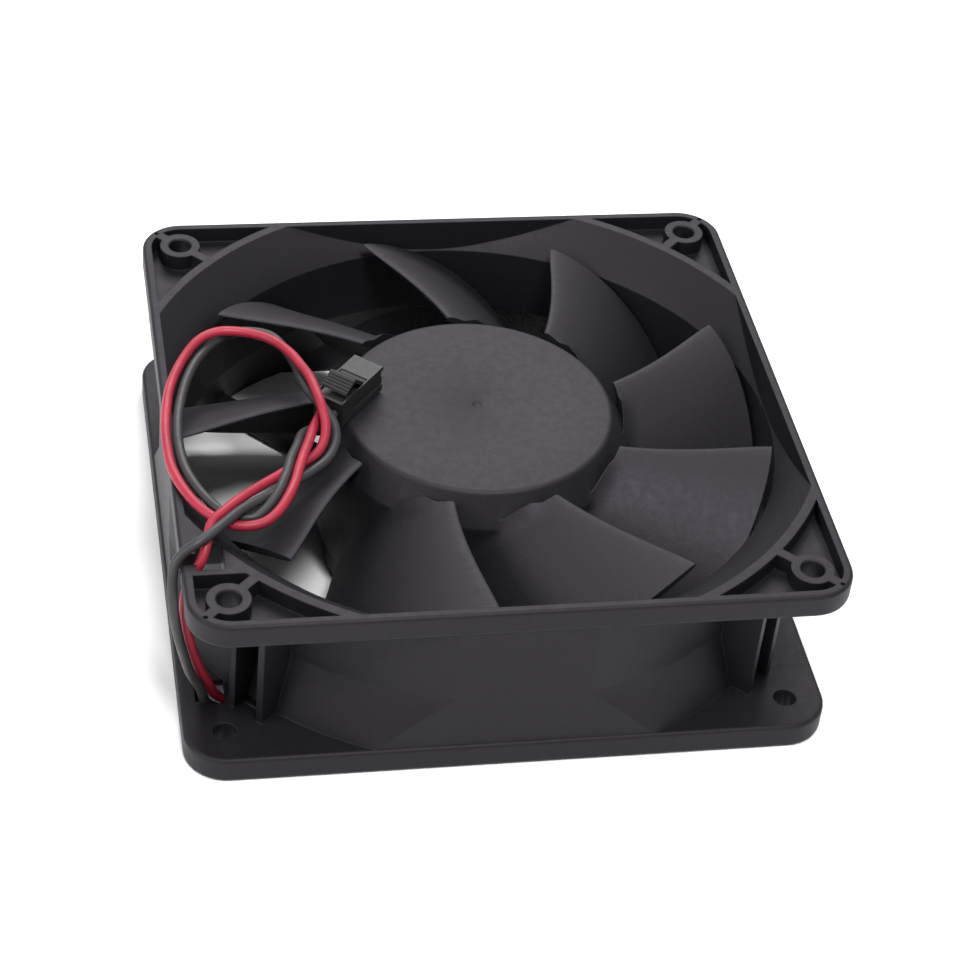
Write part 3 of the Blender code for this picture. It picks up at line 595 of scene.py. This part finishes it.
for sx, sy, turn in CORNERS:
    notched = turn == 180
    cut(body, pocket(turn, DEPTH - POCKET, DEPTH + 1, notched))
    cut(body, pocket(turn, -1.0, POCKET, notched))
    cut(body, disc("hole", HOLE_R, -2, DEPTH + 2, 40, at=(sx * HOLE, sy * HOLE)))
    cut(body, countersink(sx * HOLE, sy * HOLE, DEPTH, True), countersink(sx * HOLE, sy * HOLE, 0.0, False))
    dot = disc("dot", 0.42, DEPTH - 0.6, DEPTH + 1, 16, at=(sx * 56.9, sy * 56.9))
    cut(body, dot)

NOTCH_X = (-57.3, -52.4)
cut(
    body,
    block("ledge", NOTCH_X, (-45.0, -37.9), (DEPTH - POCKET, DEPTH + 1)),
    block("top_notch", NOTCH_X, (-42.6, -37.9), (DEPTH - TOP_FLANGE - 1, DEPTH + 1)),
    block("rim_slot", (-62.0, -56.5), (-43.4, -40.6), (DEPTH - TOP_FLANGE - 1, DEPTH + 1)),
    block("bottom_notch", (-57.0, -51.6), (-45.2, -39.2), (-1.0, BOTTOM_FLANGE + 1)),
)

BASE_Z, BASE_TOP, BASE_R = 0.8, 3.2, 28.2
STRUT_TOP = 5.6
base = lathe(
    "base",
    [
        (7.35, 1.2), (24.2, 1.2), (24.2, BASE_Z + 0.15), (24.35, BASE_Z), (BASE_R - 0.4, BASE_Z), (BASE_R, BASE_Z + 0.4), (BASE_R, 6.0), (BASE_R - 0.3, 6.3),
        (26.7, 6.3), (26.4, 6.0), (26.4, BASE_TOP), (9.4, BASE_TOP), (9.4, 6.2), (7.35, 6.2),
    ],
    96,
)
for turn, w in ((45, 3.2), (135, 3.2), (225, 7.4), (315, 3.2)):
    outline = [(w * 0.42, 1.0), (w * 0.5, 1.3), (w * 0.5, STRUT_TOP - 1.0), (w * 0.28, STRUT_TOP), (-w * 0.28, STRUT_TOP), (-w * 0.5, STRUT_TOP - 1.0), (-w * 0.5, 1.3), (-w * 0.42, 1.0)]
    n = len(outline)
    points = [(27.4, y, z) for y, z in outline] + [(66.2, y, z) for y, z in outline]
    faces = [list(range(n)), list(range(n, 2 * n))] + [[k, (k + 1) % n, n + (k + 1) % n, n + k] for k in range(n)]
    join(base, move(solid("strut", points, faces), turn=turn))
join(body, base)
CHANNEL = 2.35
cut(
    body,
    move(block("channel", (20.6, 66.0), (-CHANNEL, CHANNEL), (-1.0, 3.9)), turn=225),
    block("lip_gap", (-55.0, -39.5), (-44.6, -37.0), (-1.0, 3.9)),
)
show(body, "frame", "fan_frame", frame_mat, 10.3)

# --------------------------------------------------------- impeller, in detail
profile = [(0, HUB_TOP - 0.35), (0.5, HUB_TOP - 0.33), (0.9, HUB_TOP - 0.12), (1.15, HUB_TOP)]
profile += [(CAP_R - 1.0, HUB_TOP), (CAP_R - 0.62, HUB_TOP - 0.05), (CAP_R - 0.3, HUB_TOP - 0.2), (CAP_R - 0.06, HUB_TOP - 0.45), (CAP_R + 0.1, HUB_TOP - 0.8)]
profile += [(SKIRT_R - 0.18, SKIRT_Z + 0.35), (SKIRT_R - 0.03, SKIRT_Z), (SKIRT_R, SKIRT_Z - 0.5)]
profile += [(SKIRT_R, HUB_LOW + 0.4), (SKIRT_R - 0.3, HUB_LOW), (26.8, HUB_LOW), (26.8, 29.9), (23.9, 33.9), (0, 33.9)]
hub = lathe("impeller_fine", profile, 144)


def edge_angle(t):
    """Leading edge, degrees from the tip's own angle, for t from the hub to the tip."""
    return -12.5 * (1 - t) ** 1.25


def blade_point(t, s):
    """Middle surface of a blade: t along the span, s from the leading edge down."""
    r = 28.6 + (TIP_R - 28.6) * t
    start = 22.0 - 8.0 * t
    finish = 74.0 - 14.0 * t
    drop = 26.8 - 1.0 * t
    steps = 48
    length, fall = [0.0], [0.0]
    for k in range(steps):
        b = math.radians(start + (finish - start) * (k + 0.5) / steps)
        length.append(length[-1] + math.cos(b))
        fall.append(fall[-1] + math.sin(b))
    scale = drop / fall[-1]
    x = s * steps
    k = min(int(x), steps - 1)
    f = x - k
    arc = (length[k] + (length[k + 1] - length[k]) * f) * scale
    low = (fall[k] + (fall[k + 1] - fall[k]) * f) * scale
    return r, math.radians(edge_angle(t)) - arc / r, HUB_TOP - 0.9 - 0.4 * t - low


def blade(name, turn):
    rows = 16
    spans = [k / rows for k in range(rows + 1)]
    chords = [0.0, 0.008, 0.022, 0.05, 0.09, 0.14, 0.2, 0.28, 0.36, 0.45, 0.54, 0.63, 0.72, 0.8, 0.87, 0.93, 0.97, 0.99, 1.0]
    thick = [0.12, 0.42, 0.6, 0.74, 0.85, 0.94, 1.0, 1.0, 1.0, 0.99, 0.97, 0.94, 0.9, 0.84, 0.76, 0.62, 0.45, 0.3, 0.12]
    sheets = []
    for side in (1, -1):
        sheet = []
        for t in spans:
            row = []
            fillet = 1.0 + 1.6 * max(0.0, 1 - t / 0.07) ** 2
            for s, w in zip(chords, thick):
                r, a, z = blade_point(t, s)
                r2, a2, z2 = blade_point(t, min(s + 0.02, 1.0))
                r1, a1, z1 = blade_point(t, max(s - 0.02, 0.0))
                da, dz = (a2 - a1) * r, z2 - z1
                size = math.hypot(da, dz)
                off = side * BLADE_T * (1.15 - 0.3 * t) * w / 2 * (fillet if 0.1 < s < 0.9 else 1.0)
                a += off * (-dz / size) / r
                z += off * (da / size)
                a += math.radians(turn)
                row.append((r * math.cos(a), r * math.sin(a), z))
            sheet.append(row)
        sheets.append(sheet)
    n_rows, cols = len(spans), len(chords)
    points = [p for sheet in sheets for row in sheet for p in row]

    def at(side, i, j):
        return side * n_rows * cols + i * cols + j

    faces = []
    for side in (0, 1):
        for i in range(n_rows - 1):
            for j in range(cols - 1):
                faces.append([at(side, i, j), at(side, i + 1, j), at(side, i + 1, j + 1), at(side, i, j + 1)])
    for i in range(n_rows - 1):
        for j in (0, cols - 1):
            faces.append([at(0, i, j), at(0, i + 1, j), at(1, i + 1, j), at(1, i, j)])
    for j in range(cols - 1):
        for i in (0, n_rows - 1):
            faces.append([at(0, i, j), at(0, i, j + 1), at(1, i, j + 1), at(1, i, j)])
    return solid(name, points, faces)


BLADES = 9
TIP_ANGLE = -15.0
for k in range(BLADES):
    join(hub, blade("blade", TIP_ANGLE + 360 / BLADES * k))
show(hub, "rotor", "impeller", rotor_mat, 40)

# -------------------------------------------------------- connector, in detail


def place(obj, pivot=None):
    """From the connector's own axes to the model's."""
    obj.data.transform(Matrix.Translation(Vector((*PLUG_AT, PLUG_Z)) * MM) @ Matrix.Rotation(math.radians(PLUG_TURN), 4, "Z"))
    return obj


def side_profile(name, outline, v0, v1):
    """A (u, w) outline carried across the connector from v0 to v1."""
    n = len(outline)
    points = [(u, v0, w) for u, w in outline] + [(u, v1, w) for u, w in outline]
    faces = [list(range(n)), list(range(n, 2 * n))]
    faces += [[k, (k + 1) % n, n + (k + 1) % n, n + k] for k in range(n)]
    return solid(name, points, faces)


U0, U1 = -8.2, 5.9  # ends of the housing: the wires' side and the mouth
RIM = 5.7
half_w = PLUG_W / 2
housing = side_profile(
    "housing_fine",
    [(U0, 0.25), (U0 + 0.25, 0), (U1 - 0.25, 0), (U1, 0.25), (U1, RIM - 0.2), (U1 - 0.2, RIM), (U0 + 0.2, RIM), (U0, RIM - 0.2)],
    -half_w,
    half_w,
)
cut(housing, block("mouth", (-1.5, U1 + 1), (-2.45, 2.45), (0.9, 3.7)))
for v in (-BORE, BORE):
    wire_bore = lathe("wire_bore", [(0, U0 - 1), (1.15, U0 - 1), (1.15, -1.0), (0, -1.0)], 32)
    wire_bore.data.transform(Matrix.Translation(Vector((0, v, BORE_W)) * MM) @ Matrix.Rotation(math.radians(90), 4, "Y"))
    cut(housing, wire_bore)
cut(
    housing,
    block("key_slot", (U1 - 3.2, U1 + 1), (-0.7, 0.7), (-1, 1.2)),
    block("lance_window", (0.3, 1.7), (-2.1, -0.5), (-1, 1.2)),
    block("lance_window", (0.3, 1.7), (0.5, 2.1), (-1, 1.2)),
    block("side_groove", (-3.9, U1 + 1), (-half_w - 1, -half_w + 0.22), (1.5, 3.1)),
    block("side_groove", (-3.9, U1 + 1), (half_w - 0.22, half_w + 1), (1.5, 3.1)),
    block("end_notch", (U1 - 0.7, U1 + 1), (-half_w - 1, -half_w + 0.5), (3.4, 4.9)),
    block("trough", (-2.2, 0.6), (-2.88, 2.88), (4.6, 8.0)),
    block("shelf", (U0 - 1, -2.15), (-2.88, 2.88), (5.2, 8.0)),
)
show(place(housing), "frame", "connector_housing", plug_mat, 30)

# The sprung arm rises from the trough to a ridge, and its grip steps down towards the wires.
grip = []
for k in range(5):
    u, w = -3.85 - 0.58 * k, 8.08 - 0.31 * k
    grip += [(u, w), (u - 0.4, w - 0.2), (u - 0.33, w - 0.42), (u - 0.52, w - 0.47)]
latch = side_profile(
    "latch_fine",
    [(0.42, 4.95), (0.42, 5.6), (0.1, 5.5), (-0.4, 5.6), (-3.3, 8.05), (-3.55, 8.15)]
    + grip
    + [(-6.75, 6.3), (-6.5, 6.15), (-3.8, 7.35), (-3.4, 7.3), (-0.95, 5.1), (-0.5, 4.95)],
    -2.75,
    2.75,
)
show(place(latch), "latch", "connector_latch", plug_mat, 20)

lead("lead_red", RED_ROUTE, red_mat)
lead("lead_black", BLACK_ROUTE, black_mat)

# ------------------------------------------------------------ floor and light
floor_mesh = bpy.data.meshes.new("floor")
floor_mesh.from_pydata([(-4, -4, 0), (4, -4, 0), (4, 4, 0), (-4, 4, 0)], [], [(0, 1, 2, 3)])
floor = bpy.data.objects.new("floor", floor_mesh)
scene.collection.objects.link(floor)
floor.location.z = -0.00005
floor_nodes = Nodes("pale_floor", (0.93, 0.93, 0.93), 0.75, specular=0.15)
floor_nodes.link(floor_nodes.tint(floor_nodes.noise(3.0), (0.92, 0.92, 0.925), (0.945, 0.945, 0.945)), floor_nodes.shader.inputs["Base Color"])
floor_mesh.materials.append(floor_nodes.material)


def area(name, at, size, power, target=(0, 0, 0.02), colour=(1, 1, 1), shape="RECTANGLE"):
    data = bpy.data.lights.new(name, "AREA")
    data.shape = shape
    data.size, data.size_y = size
    data.energy = power
    data.color = colour
    lamp = bpy.data.objects.new(name, data)
    scene.collection.objects.link(lamp)
    lamp.location = at
    lamp.rotation_mode = "QUATERNION"
    lamp.rotation_quaternion = (Vector(at) - Vector(target)).to_track_quat("Z", "Y")
    return lamp


area("key", (0.05, -0.5, 1.1), (0.24, 0.24), 11.0)
area("back", (0.08, 0.85, 0.9), (0.9, 0.7), 11.5)
area("left", (-0.9, -0.35, 0.6), (0.6, 0.6), 5.5)

world = bpy.data.worlds.new("studio")
scene.world = world
world.use_nodes = True
sky = world.node_tree.nodes["Background"]
sky.inputs["Color"].default_value = (1.0, 1.0, 1.0, 1.0)
sky.inputs["Strength"].default_value = 0.5

bpy.context.view_layer.update()
